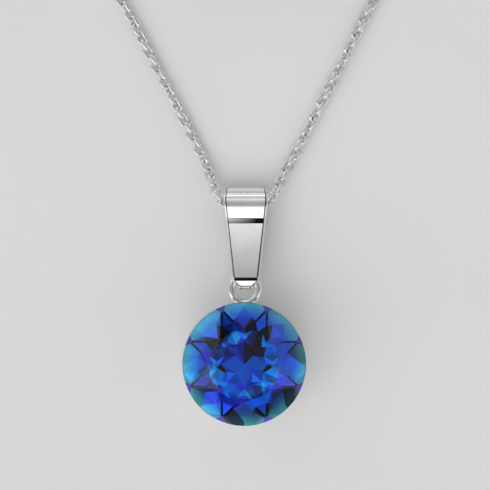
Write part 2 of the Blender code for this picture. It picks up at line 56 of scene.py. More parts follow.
# Chain, in mm: the route repeats the CAD solids' points
LINK_LENGTH = 1.105
LINK_WIDTH = 0.81
LINK_WIRE = 0.265
LINK_PITCH = 0.575
LAY_TWIST = math.radians(90 / 5.5)  # the chain's lay for each mm of its length
FRONT_ROUTE = (
    (-6.46, 34.6, 0.6),
    (-6.9, 32.4, 0.45),
    (-8.0, 30.0, 0.42),
    (-8.95, 27.6, 0.42),
    (-8.75, 25.5, 0.42),
    (-7.63, 23.3, 0.42),
    (-6.47, 21.07, 0.42),
    (-4.61, 17.49, 0.42),
    (-3.15, 14.66, 0.43),
    (-2.4, 12.95, 0.62),
    (-2.12, 12.2, 0.86),
    (-1.88, 11.5, 1.08),
    (-1.42, 10.97, 1.16),
    (-0.7, 10.8, 1.16),
    (0.9, 10.8, 1.16),
    (1.62, 10.97, 1.16),
    (2.08, 11.5, 1.08),
    (2.34, 12.1, 0.86),
    (2.74, 12.9, 0.62),
    (3.55, 14.4, 0.43),
    (4.98, 17.13, 0.42),
    (6.82, 20.75, 0.42),
    (8.19, 23.47, 0.42),
    (9.1, 25.4, 0.42),
    (9.35, 27.6, 0.42),
    (8.4, 30.0, 0.8),
    (7.3, 32.4, 1.6),
    (6.86, 34.6, 2.0),
)
LEFT_END_ROUTE = (
    (-2.8, 41.55, 1.2),
    (-3.0, 40.4, 1.05),
    (-3.9, 39.1, 0.8),
    (-5.0, 37.9, 1.4),
)
RIGHT_END_ROUTE = (
    (5.4, 37.9, 3.1),
    (5.3, 39.3, 1.9),
    (5.0, 40.7, 0.7),
    (4.9, 41.85, 0.42),
)
COIL_CENTRE = (0.2, 33.6)
COIL_OUTER_TURN = 5.82  # radius of the middle of the outermost turn
COIL_INNER_TURN = 2.98
COIL_LAYERS = (0.65, 1.46, 2.27, 3.07)  # height of each layer's middle
COIL_TURNS = 7  # in each pair of layers
POINTS_A_TURN = 16
COIL_CLIMB = 14.0  # how quickly the coil steps from one layer to the next halfway along
LEFT_COIL_ANGLES = (150, 160)  # degrees where the route enters and leaves the lower two layers
RIGHT_COIL_ANGLES = (20, 30)
SEEN_CHAIN_Y = 30.0  # links past this are outside the picture and have less detail
SEEN_LINK_DETAIL = (20, 8)  # steps round the link, sides of its wire
COIL_LINK_DETAIL = (14, 5)
LEFT_FLAT_LINK = (-6.47, 21.07)  # places where a link lies flat
RIGHT_FLAT_LINK = (8.19, 23.47)

# Stone
STONE_RADIUS = 4.15
STONE_SIDES = 128
GIRDLE_Z = 4.03
GIRDLE_THICKNESS = 0.12
KITE_ANGLE = math.radians(38.0)  # the crown's main facets, from level
TABLE_CORNER = 0.56  # the flat table's corners, as a share of the radius
RIM_BREAK_ANGLE = math.radians(56.0)
RIM_BREAK_REACH = 0.906  # share of the radius where the steep rim facets start
PETALS = 8
FOIL_RISE = 2.3  # how fast the foil climbs from the girdle to under the table, mm over the radius
FOIL_TOP = 1.0
FOIL_UNEVEN = 0.11
FOIL_EVEN_FROM = 0.9  # share of the radius
FOIL_LEAN = 0.13  # of its middle, towards the front
FOIL_LEAN_FROM = 0.75  # share of the radius, and how soon inside it the lean is full
FOIL_LEAN_OVER = 0.2

# Bail
BAIL_X = 0.1
BAIL_THICKNESS = 0.25
NARROW_Y, NARROW_HALF_WIDTH = 5.2, 0.47  # where the bail passes through the eye
WAIST_Y, WAIST_HALF_WIDTH = 5.6, 0.9
WIDE_Y, WIDE_HALF_WIDTH = 10.9, 1.5
TIP_Y = 11.3  # from here the roll narrows a little
ROLL_CENTRE = Vector((10.75, 1.18))  # y, z
ROLL_RADIUS = 1.15
FOLD_TOP = Vector((5.38, 2.5285))  # centre of the fold's upper corner, y and z
FOLD_FOOT = Vector((5.38, 1.8715))  # and of its lower corner
FOLD_CORNER = 0.38
FOLD_SLOPE = 14.0  # degrees that the fold's front leans
ROLL_START = 102.0  # degrees round the roll where its curve ends in front
CREASE = (9.82, 9.46)  # y of the groove under the roll
CREASE_DEPTH = 0.13
FOOT_CREASE = (5.81, 5.58)  # y of the groove over the fold
FOOT_CREASE_DEPTH = 0.05
PANEL_BOW = 0.09
SLIGHT_BOW = 0.015
RIM_WIDTH = 0.19  # the bead along the bail's two long edges, with the fine groove beside it
RIM_GROOVE = 0.06
RIM_GROOVE_DEPTH = 0.045
RIM_DROP = 0.11
BACK_BEVEL = 0.04

# Eye
EYE_CENTRE = Vector((0.03, 5.0, 2.2))
EYE_RING_RADIUS = 0.9
EYE_WIRE_RADIUS = 0.27

# The chain's two end rings: centre, radius, wire radius, axes of their circle.
CLASP_RING = ((-2.8, 42.82, 1.2), 1.0, 0.18, ((0, 1, 0), (0, 0, 1)))
CLOSING_RING = ((4.9, 43.4, 0.24), 1.25, 0.22, ((1, 0, 0), (0, 1, 0)))

# Rounded and crumpled copies, in mm
ROUNDED_FROM = math.radians(32)  # edges sharper than this are rounded
CRUMPLE_DETAIL = 0.15
CRUMPLE_SIZE = 0.5


# ---------------------------------------------------------------- helpers


def link_nodes(tree, source, output, target, name):
    tree.links.new(source.outputs[output], target.inputs[name])


def new_material(name):
    material = bpy.data.materials.new(name)
    material.use_nodes = True
    return material, material.node_tree, material.node_tree.nodes["Principled BSDF"]


def add_object(name, vertices, faces, materials, body, smooth_angle=None):
    """A mesh object from millimetre points that rides on a body."""
    mesh = bpy.data.meshes.new(name)
    mesh.from_pydata([Vector(v) * MM for v in vertices], [], faces)
    return finish_mesh(name, mesh, materials, body, smooth_angle)


def finish_mesh(name, mesh, materials, body, smooth_angle):
    """An object with its materials, smooth up to an angle in degrees, that rides on a body."""
    for material in materials:
        mesh.materials.append(material)
    if smooth_angle is not None:
        mesh.shade_smooth()
        mesh.set_sharp_from_angle(angle=math.radians(smooth_angle))
    item = bpy.data.objects.new(name, mesh)
    bpy.context.scene.collection.objects.link(item)
    if body:
        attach(item, body)
    return item


def arc(centre, radius, start, end, steps):
    """Points round a circle in a plane, from one angle in degrees to another."""
    angles = [math.radians(start + (end - start) * i / steps) for i in range(steps + 1)]
    return [Vector((centre[0] + radius * math.cos(a), centre[1] + radius * math.sin(a))) for a in angles]


def smooth_line(route, steps=12):
    """Points along a Catmull-Rom curve through a route."""
    points = [Vector(p) for p in route]
    points = [2 * points[0] - points[1], *points, 2 * points[-1] - points[-2]]
    line = []
    for a, b, c, d in zip(points, points[1:], points[2:], points[3:], strict=False):
        for i in range(steps):
            t = i / steps
            line.append(
                0.5 * (2 * b + (c - a) * t + (2 * a - 5 * b + 4 * c - d) * t**2
                       + (3 * b - a - 3 * c + d) * t**3)
            )
    line.append(points[-2])
    return line


def tube_faces(rings, sides, first=0):
    """Faces of a tube that closes on itself, from rings of vertices that follow each other."""
    faces = []
    for i in range(rings):
        k = (i + 1) % rings
        for j in range(sides):
            n = (j + 1) % sides
            corners = ((i, j), (k, j), (k, n), (i, n))
            faces.append(tuple(first + ring * sides + side for ring, side in corners))
    return faces


def sweep_ring(centre, ring_radius, wire_radius, axes, ring_steps=96, wire_steps=24):
    """Vertices and faces of a torus whose circle runs through the two given axes."""
    across, along = (Vector(a) for a in axes)
    normal = across.cross(along)
    vertices = []
    for i in range(ring_steps):
        a = FULL_TURN * i / ring_steps
        out = across * math.cos(a) + along * math.sin(a)
        for j in range(wire_steps):
            b = FULL_TURN * j / wire_steps
            point = Vector(centre) + out * (ring_radius + wire_radius * math.cos(b))
            vertices.append(point + normal * wire_radius * math.sin(b))
    return vertices, tube_faces(ring_steps, wire_steps)


# ---------------------------------------------------------------- materials

MIX_FIRST, MIX_SECOND, MIX_RESULT = 6, 7, 2  # the Mix node's sockets for colours


def noise(tree, scale, detail=4.0, stretch=(1, 1, 1)):
    """A noise texture that is fixed to the object."""
    nodes = tree.nodes
    place = nodes.new("ShaderNodeTexCoord")
    mapping = nodes.new("ShaderNodeMapping")
    mapping.inputs["Scale"].default_value = stretch
    texture = nodes.new("ShaderNodeTexNoise")
    texture.inputs["Scale"].default_value = scale
    texture.inputs["Detail"].default_value = detail
    link_nodes(tree, place, "Object", mapping, "Vector")
    link_nodes(tree, mapping, "Vector", texture, "Vector")
    return texture


def ramp(tree, texture, low, high, start=0.35, end=0.65):
    node = tree.nodes.new("ShaderNodeValToRGB")
    node.color_ramp.elements[0].position = start
    node.color_ramp.elements[1].position = end
    node.color_ramp.elements[0].color = low
    node.color_ramp.elements[1].color = high
    link_nodes(tree, texture, "Fac", node, "Fac")
    return node


def grey(value):
    return (value, value, value, 1.0)


def mixed(tree, first, second, factor=None):
    """Two colours multiplied, or the second laid over the first by a factor."""
    mix = tree.nodes.new("ShaderNodeMix")
    mix.data_type = "RGBA"
    if factor is None:
        mix.blend_type = "MULTIPLY"
        mix.inputs["Factor"].default_value = 1.0
    else:
        tree.links.new(factor, mix.inputs["Factor"])
    tree.links.new(first, mix.inputs[MIX_FIRST])
    tree.links.new(second, mix.inputs[MIX_SECOND])
    return mix.outputs[MIX_RESULT]


def metal(name, colour, roughness, scratch_scale, scratch_depth, stretch=(1, 1, 1)):
    """Polished or plated metal: uneven polish in the roughness, and fine scratches as bump."""
    material, tree, shader = new_material(name)
    shader.inputs["Metallic"].default_value = 1.0
    darker = tuple(c * 0.94 for c in colour[:3]) + (1.0,)
    tone = ramp(tree, noise(tree, 900, 3.0), darker, colour)
    link_nodes(tree, tone, "Color", shader, "Base Color")
    polish = ramp(tree, noise(tree, 1500, 5.0), grey(roughness * 0.7), grey(roughness * 1.35))
    link_nodes(tree, polish, "Color", shader, "Roughness")
    bump = tree.nodes.new("ShaderNodeBump")
    bump.inputs["Strength"].default_value = scratch_depth
    bump.inputs["Distance"].default_value = 0.00001
    link_nodes(tree, noise(tree, scratch_scale, 6.0, stretch), "Fac", bump, "Height")
    link_nodes(tree, bump, "Normal", shader, "Normal")
    return material


def groove_painted_shade(name, dark, light, start, end):
    """Silver with painted shade in a groove: a dark reflection painted into its colour, darker towards the
    right.
    """
    material = metal(name, SILVER, 0.12, 1800, 0.06)
    tree = material.node_tree
    place = tree.nodes.new("ShaderNodeTexCoord")
    axes = tree.nodes.new("ShaderNodeSeparateXYZ")
    spread = tree.nodes.new("ShaderNodeMapRange")
    spread.inputs["From Min"].default_value = start * MM
    spread.inputs["From Max"].default_value = end * MM
    tone = tree.nodes.new("ShaderNodeValToRGB")
    tone.color_ramp.elements[0].color = grey(light)
    tone.color_ramp.elements[1].color = grey(dark)
    link_nodes(tree, place, "Object", axes, "Vector")
    link_nodes(tree, axes, "X", spread, "Value")
    link_nodes(tree, spread, "Result", tone, "Fac")
    link_nodes(tree, tone, "Color", tree.nodes["Principled BSDF"], "Base Color")
    return material


def glass():
    material, tree, shader = new_material("blue_glass")
    shader.inputs["Base Color"].default_value = (1.0, 1.0, 1.0, 1.0)
    shader.inputs["Roughness"].default_value = 0.0
    shader.inputs["IOR"].default_value = 1.5
    shader.inputs["Specular IOR Level"].default_value = 0.12
    shader.inputs["Transmission Weight"].default_value = 1.0
    absorb = tree.nodes.new("ShaderNodeVolumeAbsorption")
    absorb.inputs["Color"].default_value = (0.30, 0.66, 0.98, 1.0)
    absorb.inputs["Density"].default_value = 60.0
    link_nodes(tree, absorb, "Volume", tree.nodes["Material Output"], "Volume")
    return material


def foil(name, inner, middle, rim):
    """One tone of the foil behind the stone: the stone's own blue with painted reflections, paler towards
    the rim.
    """
    material, tree, shader = new_material(name)
    place = tree.nodes.new("ShaderNodeTexCoord")
    flat = tree.nodes.new("ShaderNodeMapping")
    flat.inputs["Scale"].default_value = (1, 1, 0)
    reach = tree.nodes.new("ShaderNodeVectorMath")
    reach.operation = "LENGTH"
    spread = tree.nodes.new("ShaderNodeMapRange")
    spread.inputs["From Min"].default_value = FOIL_PALER_FROM * STONE_RADIUS * MM
    spread.inputs["From Max"].default_value = STONE_RADIUS * MM
    tone = tree.nodes.new("ShaderNodeValToRGB")
    tone.color_ramp.elements.new(0.5)
    for element, position, colour in zip(
        tone.color_ramp.elements, FOIL_STOPS, (inner, middle, rim), strict=True
    ):
        element.position = position
        element.color = foil_colour(colour)
    link_nodes(tree, place, "Object", flat, "Vector")
    link_nodes(tree, flat, "Vector", reach, 0)
    link_nodes(tree, reach, "Value", spread, "Value")
    link_nodes(tree, spread, "Result", tone, "Fac")
    uneven = ramp(tree, noise(tree, 900, 2.0), grey(0.88), grey(1.0))
    colour = mixed(tree, tone.outputs["Color"], uneven.outputs["Color"])
    tree.links.new(colour, shader.inputs["Base Color"])
    shader.inputs["Metallic"].default_value = FOIL_METALLIC
    shader.inputs["Roughness"].default_value = 0.3
    return material


def foil_colour(colour):
    """A linear colour from a 0 to 255 display colour, lifted for the light that reaches the foil."""
    linear = [(c / 255) ** 2.2 for c in colour]
    lift = min(FOIL_LIFT, 1 / max(linear))
    return (*(min(1.0, c * lift * tint) for c, tint in zip(linear, FOIL_TINT, strict=True)), 1.0)


def resin():
    material, tree, shader = new_material("clear_resin")
    tone = ramp(tree, noise(tree, 600, 3.0), (0.72, 0.68, 0.55, 1.0), (0.82, 0.79, 0.68, 1.0))
    link_nodes(tree, tone, "Color", shader, "Base Color")
    shader.inputs["Roughness"].default_value = 0.15
    return material


def paper():
    material, tree, shader = new_material("tie_paper")
    tone = ramp(tree, noise(tree, 2500, 6.0, (1, 1, 4)), (0.70, 0.68, 0.62, 1.0), (0.86, 0.84, 0.79, 1.0))
    link_nodes(tree, tone, "Color", shader, "Base Color")
    shader.inputs["Roughness"].default_value = 0.85
    bump = tree.nodes.new("ShaderNodeBump")
    bump.inputs["Strength"].default_value = 0.5
    bump.inputs["Distance"].default_value = 0.00003
    link_nodes(tree, noise(tree, 4000, 5.0), "Fac", bump, "Height")
    link_nodes(tree, bump, "Normal", shader, "Normal")
    return material


SILVER = (0.93, 0.93, 0.915, 1.0)
BAIL_SILVER = metal("bail_polish", SILVER, 0.05, 1800, 0.06, (6, 1, 1))
# Painted shade: the bail's silver darkened in its grooves, standing in for dark reflections
FOOT_PAINTED_SHADE = groove_painted_shade("foot_groove_painted_shade", 0.01, 0.02, -0.8, 0.9)
ROLL_PAINTED_SHADE = groove_painted_shade("roll_groove_painted_shade", 0.008, 0.6, -1.1, 0.8)
RIM_PAINTED_SHADE = groove_painted_shade("rim_groove_painted_shade", 0.10, 0.16, -1.5, 1.6)
CHAIN_SILVER = metal("chain_polish", (0.90, 0.90, 0.89, 1.0), 0.08, 2500, 0.1)
CUP_SILVER = metal("cup_polish", SILVER, 0.12, 1200, 0.15, (1, 1, 5))
RING_SILVER = metal("ring_polish", SILVER, 0.08, 2200, 0.1)
CLASP_SILVER = metal("clasp_polish", SILVER, 0.14, 1500, 0.25)
SPRING_STEEL = metal("spring_wire", (0.56, 0.56, 0.57, 1.0), 0.3, 3000, 0.3, (1, 1, 6))
GLASS = glass()
FOIL_METALLIC = 1.0
FOIL_LIFT = 2.0
FOIL_TINT = (0.75, 1.1, 1.0)
FOIL_PALER_FROM = 0.6  # share of the radius
FOIL_STOPS = (0.08, 0.5, 0.97)  # from there to the rim
FOIL_REFLECTION_TONES = {  # painted reflections in the stone's own blue: display colours at the middle of the stone, near its rim and at its rim
    "K": ((2, 8, 30), (3, 12, 36), (8, 44, 60)),
    "N": ((8, 34, 120), (12, 44, 120), (40, 90, 135)),
    "T": ((4, 60, 120), (8, 62, 110), (50, 115, 140)),
    "D": ((12, 78, 195), (16, 80, 185), (50, 125, 190)),
    "B": ((16, 108, 255), (24, 110, 255), (70, 160, 240)),
    "M": ((30, 88, 240), (36, 92, 235), (80, 155, 235)),
    "V": ((44, 62, 225), (46, 76, 225), (80, 135, 225)),
    "A": ((0, 128, 255), (10, 130, 255), (60, 165, 245)),
    "L": ((45, 158, 255), (45, 158, 255), (80, 180, 245)),
    "W": ((52, 34, 165), (52, 34, 165), (62, 40, 175)),
    "P": ((44, 78, 232), (40, 132, 240), (95, 195, 238)),
    "Q": ((32, 62, 195), (38, 104, 205), (84, 168, 208)),
    "S": ((14, 40, 118), (12, 50, 96), (52, 118, 130)),
}
# Painted reflections: each foil colour holds the light and dark that the stone's lower half would reflect
PAINTED_REFLECTION_FOILS = {letter: foil(f"foil_{letter}", *tones) for letter, tones in FOIL_REFLECTION_TONES.items()}
RESIN = resin()
PAPER = paper()


# ---------------------------------------------------------------- camera


def make_camera():
    camera = bpy.data.cameras.new("camera")
    camera.lens = camera.sensor_width * CAMERA_HEIGHT / VIEW_WIDTH
    camera.clip_start = 0.01
    item = bpy.data.objects.new("camera", camera)
    item.location = VIEW_CENTRE + Vector((0, 0, CAMERA_HEIGHT))
    bpy.context.scene.collection.objects.link(item)
    bpy.context.scene.camera = item


# ---------------------------------------------------------------- chain


def coil_turns(entry, way_out, first_z, second_z):
    """Turns that wind inwards at one height and back outwards at another; angles in degrees."""
    swept = COIL_TURNS * 360 + way_out - entry
    count = round(swept / 360 * POINTS_A_TURN)
    points = []
    for i in range(count + 1):
        share = i / count
        radius = COIL_INNER_TURN + (COIL_OUTER_TURN - COIL_INNER_TURN) * abs(1 - 2 * share)
        step = min(1.0, max(0.0, (share - 0.5) * COIL_CLIMB + 0.5))
        z = first_z + (second_z - first_z) * step * step * (3 - 2 * step)
        a = math.radians(entry + swept * share)
        points.append((COIL_CENTRE[0] + radius * math.cos(a), COIL_CENTRE[1] + radius * math.sin(a), z))
    return points


def chain_line():
    """The chain's whole middle line, from the clasp's jump ring to the end ring."""
    first = coil_turns(*LEFT_COIL_ANGLES, COIL_LAYERS[1], COIL_LAYERS[0])
    second = coil_turns(*RIGHT_COIL_ANGLES, COIL_LAYERS[2], COIL_LAYERS[3])
    return smooth_line([*LEFT_END_ROUTE, *first, *FRONT_ROUTE, *second, *RIGHT_END_ROUTE], 6)


def lengths_along(line):
    lengths = [0.0]
    for a, b in zip(line, line[1:], strict=False):
        lengths.append(lengths[-1] + (b - a).length)
    return lengths


def length_at(line, lengths, place):
    """How far along the line its nearest point to a place on the table is."""
    near = min(range(len(line)), key=lambda i: (line[i].xy - Vector(place)).length)
    return lengths[near]


def stadium(half_length, half_width, steps):
    """The middle line of a link, as points along and across, with the outward direction at each."""
    straight = half_length - half_width
    points = []
    for i in range(steps):
        a = FULL_TURN * (i + 0.5) / steps
        side = straight if math.cos(a) > 0 else -straight
        out = Vector((math.cos(a), math.sin(a)))
        points.append((Vector((side, 0)) + out * half_width, out))
    return points


def add_link(vertices, faces, centre, along, across, steps, sides):
    """One closed oval link whose wire has a many-sided, diamond-cut section."""
    normal = along.cross(across)
    first = len(vertices)
    half_length = (LINK_LENGTH - LINK_WIRE) / 2
    half_width = (LINK_WIDTH - LINK_WIRE) / 2
    for point, out in stadium(half_length, half_width, steps):
        middle = centre + along * point.x + across * point.y
        outward = along * out.x + across * out.y
        for j in range(sides):
            a = FULL_TURN * (j + 0.5) / sides
            vertices.append(middle + (outward * math.cos(a) + normal * math.sin(a)) * LINK_WIRE / 2)
    faces += tube_faces(steps, sides, first)


def link_places(line):
    """Each link's centre and its two directions; a link lies flat at each of the two named places."""
    lengths = lengths_along(line)
    left_flat = length_at(line, lengths, LEFT_FLAT_LINK)
    right_flat = length_at(line, lengths, RIGHT_FLAT_LINK)
    middle = (left_flat + right_flat) / 2
    between = round((right_flat - left_flat) / LINK_PITCH)
    pitch = (right_flat - left_flat) / between
    before = int(left_flat / pitch)
    count = before + between + int((lengths[-1] - right_flat) / pitch)
    k = 0
    for i in range(count + 1):
        at = left_flat + (i - before) * pitch
        while k < len(lengths) - 2 and lengths[k + 1] < at:
            k += 1
        share = (at - lengths[k]) / (lengths[k + 1] - lengths[k])
        centre = line[k].lerp(line[k + 1], share)
        along = (line[min(k + 2, len(line) - 1)] - line[max(k - 1, 0)]).normalized()
        level = along.cross(Vector((0, 0, 1))).normalized()
        upright = level.cross(along)
        if at < middle:
            angle = (i - before) * math.pi / 2 + LAY_TWIST * (at - left_flat)
        else:
            angle = (i - before - between) * math.pi / 2 + LAY_TWIST * (at - right_flat)
        yield centre, along, level * math.cos(angle) + upright * math.sin(angle)


def make_chain(fittings):
    line = chain_line()
    vertices, faces = [], []
    for centre, along, across in link_places(line):
        detail = SEEN_LINK_DETAIL if centre.y < SEEN_CHAIN_Y else COIL_LINK_DETAIL
        add_link(vertices, faces, centre, along, across, *detail)
    chain = add_object("linked_chain", vertices, faces, [CHAIN_SILVER], "chain", 50)
    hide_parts("chain", "chain_coil", "chain_end_left", "chain_end_right")


# ---------------------------------------------------------------- stone

# Painted reflection tones of the foil's facets, anticlockwise from the right: lighter at the upper left and
# darker at the lower right, as the light falls
KITE_TONES = "MMMPPVSS"  # the middle of each petal
PETAL_TONES = ("QS", "PQ", "QQ", "PP", "PP", "SQ", "KS", "SK")  # each petal's two sides
LANCE_TONES = "MMNMVVMV"  # between the petals
ARROW_TONES = ("BM", "MK", "KN", "KK", "VT", "NV", "VM", "BV")  # at the petals' inner ends
RING_TONES = ("TD", "KN", "LA", "TN", "LA", "DM", "TT", "TA")  # the pale ring, below the lances
LINK_TONES = ("LA", "AA", "AD", "TD", "LA", "AA", "AL", "LA")  # and below the arrows
BAR_TONES = ("KB", "", "VV", "", "MK", "", "VV", "")  # slim facets inside every other petal
HEART_TONES = ("BB", "K", "KN", "N", "MD", "D", "DM", "B")  # the middle
BOTH_SIDES = ((-1, 0), (1, 1))  # of a petal: the way to turn, and its letter in a pair of tones


def direction(azimuth, radius, height):
    return Vector((radius * math.cos(azimuth), radius * math.sin(azimuth), height))


def cut_facet(stone, azimuth, normal_angle, point):
    """Grinds one flat facet: a cut through a point, facing out at an angle from straight up."""
    normal = direction(azimuth, math.sin(normal_angle), math.cos(normal_angle))
    geometry = stone.verts[:] + stone.edges[:] + stone.faces[:]
    result = bmesh.ops.bisect_plane(
        stone, geom=geometry, plane_co=point, plane_no=normal, clear_outer=True, dist=1e-6
    )
    rim = [e for e in result["geom_cut"] if isinstance(e, bmesh.types.BMEdge) and e.is_boundary]
    if rim:
        bmesh.ops.edgeloop_fill(stone, edges=rim)


def make_crown():
    """The clear part above the girdle, open below, and the ring of vertices round its open side."""
    radius = STONE_RADIUS
    table = GIRDLE_Z + GIRDLE_THICKNESS + (1 - TABLE_CORNER) * radius * math.tan(KITE_ANGLE)
    inset = math.cos(EIGHTH / 2)
    star_angle = math.atan(
        math.tan(KITE_ANGLE) * (inset - TABLE_CORNER) / (1 - TABLE_CORNER * inset)
    )
    rim_z = table - (RIM_BREAK_REACH - TABLE_CORNER * inset) * radius * math.tan(star_angle)
    crown = bmesh.new()
    angles = [FULL_TURN * i / STONE_SIDES for i in range(STONE_SIDES)]
    low = [crown.verts.new(direction(a, radius, GIRDLE_Z)) for a in angles]
    high = [crown.verts.new(direction(a, radius, 2 * table)) for a in angles]
    for i in range(STONE_SIDES):
        k = (i + 1) % STONE_SIDES
        crown.faces.new((low[i], low[k], high[k], high[i]))
    crown.faces.new(high)
    crown.faces.new(low[::-1])
    cut_facet(crown, 0, 0, Vector((0, 0, table)))
    for k in range(PETALS):
        on = k * EIGHTH
        between = on + EIGHTH / 2
        cut_facet(crown, on, KITE_ANGLE, direction(on, TABLE_CORNER * radius, table))
        cut_facet(crown, between, star_angle, direction(between, TABLE_CORNER * radius * inset, table))
        cut_facet(crown, between, RIM_BREAK_ANGLE, direction(between, RIM_BREAK_REACH * radius, rim_z))
    bmesh.ops.remove_doubles(crown, verts=crown.verts, dist=1e-4)
    bmesh.ops.dissolve_limit(crown, angle_limit=1e-3, verts=[], edges=crown.edges)
    crown.normal_update()
    underside = [f for f in crown.faces if max(v.co.z for v in f.verts) < GIRDLE_Z + 0.001]
    bmesh.ops.delete(crown, geom=underside, context="FACES_ONLY")
    return crown, [v for v in crown.verts if v.is_boundary]


def outer_facets(k):
    """One petal, its arrow and the lance beside it: tones and corners (share of the radius, degrees)."""
    rim_step = 360 / STONE_SIDES
    on = 45 * k
    mid = on + 22.5
    facets = []
    facets.append((KITE_TONES[k], [(0.93, on), (0.755, on + 9.5), (0.58, on), (0.755, on - 9.5)]))
    for side, tones in BOTH_SIDES:
        rim = [(1.0, on + side * rim_step * i) for i in range(7)]
        petal = [(0.905, on + side * 20.7), (0.715, on + side * 13.8), (0.755, on + side * 9.5), (0.93, on)]
        facets.append((PETAL_TONES[k][tones], rim + petal))
        facets.append(
            ("K", [(0.905, on + side * 20.7), (0.88, on + side * 22.5), (0.69, on + side * 15.5),
                   (0.715, on + side * 13.8)])
        )
        facets.append(
            (ARROW_TONES[k][tones],
             [(0.58, on), (0.755, on + side * 9.5), (0.715, on + side * 13.8), (0.69, on + side * 15.5),
              (0.56, on + side * 22.5), (0.555, on + side * 13), (0.50, on)])
        )
    gap = [(1.0, mid + rim_step * i) for i in range(-2, 3)]
    facets.append(("W", gap + [(0.905, mid + 1.8), (0.92, mid), (0.905, mid - 1.8)]))
    facets.append(("K", [(0.905, mid + 1.8), (0.92, mid), (0.905, mid - 1.8), (0.88, mid)]))
    facets.append((LANCE_TONES[k], [(0.88, mid), (0.69, mid + 7), (0.56, mid), (0.69, mid - 7)]))
    return facets


def inner_facets(k):
    """The facets nearer the middle in one eighth of the stone."""
    on = 45 * k
    mid = on + 22.5
    facets = []
    for side, tones in BOTH_SIDES:
        facets.append(
            (RING_TONES[k][tones],
             [(0.56, mid), (0.555, mid + side * 9.5), (0.45, mid + side * 16), (0.345, mid)])
        )
        facets.append(
            (LINK_TONES[k][tones],
             [(0.50, on), (0.555, on + side * 13), (0.45, on + side * 6.5), (0.40, on)])
        )
    if k % 2:
        facets.append(
            (HEART_TONES[k][0],
             [(0.40, on), (0.45, on - 6.5), (0.345, on - 22.5), (0.31, on - 22.5), (0.20, on),
              (0.31, on + 22.5), (0.345, on + 22.5), (0.45, on + 6.5)])
        )
        return facets
    for side, tones in BOTH_SIDES:
        turn = on + side * 22.5
        facets.append(
            (BAR_TONES[k][tones],
             [(0.40, on), (0.45, on + side * 6.5), (0.345, turn), (0.31, turn), (0.37, on)])
        )
        facets.append(
            (HEART_TONES[k][tones], [(0.0, 0), (0.37, on), (0.31, turn), (0.20, on + side * 45)])
        )
    return facets


def foil_point(share, degrees):
    """A corner of the foil: it climbs from the girdle, and its facets lean a little each their own way."""
    lean = math.sin(degrees * 7.3 + share * 61.0) * FOIL_UNEVEN if share < FOIL_EVEN_FROM else 0.0
    point = direction(math.radians(degrees), share * STONE_RADIUS, GIRDLE_Z)
    middle = min(1.0, max(0.0, (FOIL_LEAN_FROM - share) / FOIL_LEAN_OVER))
    point.z += min(FOIL_TOP, FOIL_RISE * (1 - share)) + lean + point.y * FOIL_LEAN * middle
    return point


def corner_key(share, degrees):
    """The same key for a place however its angle was worked out."""
    return share, round((degrees + 0.002) % 360, 2)


def make_stone():
    """The cut stone: a clear crown over foil facets in the stone's blue with painted reflections, which
    stand in for what its lower half reflects.
    """
    stone, rim = make_crown()
    letters = list(PAINTED_REFLECTION_FOILS)
    corners = {}
    for vertex in rim:
        degrees = math.degrees(math.atan2(vertex.co.y, vertex.co.x)) % 360
        corners[corner_key(1.0, degrees)] = vertex
    facets = [facet for k in range(PETALS) for facet in outer_facets(k) + inner_facets(k)]
    for tone, places in facets:
        vertices = []
        for share, degrees in places:
            key = corner_key(share, degrees)
            if key not in corners:
                corners[key] = stone.verts.new(foil_point(share, degrees % 360))
            vertices.append(corners[key])
        face = stone.faces.new(vertices)
        face.material_index = 1 + letters.index(tone)
    bmesh.ops.recalc_face_normals(stone, faces=stone.faces)
    bmesh.ops.triangulate(stone, faces=[f for f in stone.faces if f.material_index])
    mesh = bpy.data.meshes.new("faceted_stone")
    stone.to_mesh(mesh)
    stone.free()
    mesh.transform(Matrix.Scale(MM, 4))
    item = finish_mesh("faceted_stone", mesh, [GLASS, *PAINTED_REFLECTION_FOILS.values()], "pendant", None)
    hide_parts("crystal")


# ---------------------------------------------------------------- bail and eye


def bail_outline():
    """The bail's outside from the side, as (y, z) points that run round its closed loop."""
    reach = ROLL_CENTRE - FOLD_FOOT
    lean = math.degrees(math.atan2(reach.y, reach.x))
    spread = math.degrees(math.asin((ROLL_RADIUS - FOLD_CORNER) / reach.length))
    over = arc(ROLL_CENTRE, ROLL_RADIUS, ROLL_START, lean - 90 - spread, 48)
    under = arc(FOLD_FOOT, FOLD_CORNER, lean - 90 - spread, -180, 18)
    under += arc(FOLD_TOP, FOLD_CORNER, -180, -270 + FOLD_SLOPE, 14)
    rise = (FOOT_CREASE[1] - under[-1].x) * math.tan(math.radians(FOLD_SLOPE))
    under += bowed(under[-1], Vector((FOOT_CREASE[1], under[-1].y + rise)), SLIGHT_BOW, 5)
    under.append(Vector((FOOT_CREASE[1], under[-1].y + rise / 5)))
    slope = math.tan(math.radians(ROLL_START - 90))
    roll_foot = Vector((CREASE[0], over[0].y - (over[0].x - CREASE[0]) * slope))
    panel_top = Vector((CREASE[1], roll_foot.y + 0.01))
    panel_foot = Vector((FOOT_CREASE[0], under[-1].y))
    points = over + bowed(over[-1], under[0], PANEL_BOW, 24) + under
    points += groove(under[-1], panel_foot, FOOT_CREASE_DEPTH)
    points.append(panel_foot)
    points += bowed(panel_foot, panel_top, PANEL_BOW, 24)
    points.append(panel_top)
    points += groove(panel_top, roll_foot, CREASE_DEPTH)
    points.append(roll_foot)
    points += bowed(roll_foot, over[0], SLIGHT_BOW, 8)
    return points


def groove(start, end, deepest):
    """Points down and up a groove in the outline."""
    shares = ((0.12, 0.6), (0.3, 0.95), (0.5, 1.0), (0.7, 0.95), (0.88, 0.6))
    return [start.lerp(end, share) - Vector((0, deepest * depth)) for share, depth in shares]


def bowed(start, end, bow, steps):
    """Points between two ends, on a line that bows out to the left of its way by that much."""
    out = Vector((start.y - end.y, end.x - start.x)).normalized()
    points = []
    for i in range(1, steps):
        share = i / steps
        points.append(start.lerp(end, share) + out * bow * 4 * share * (1 - share))
    return points


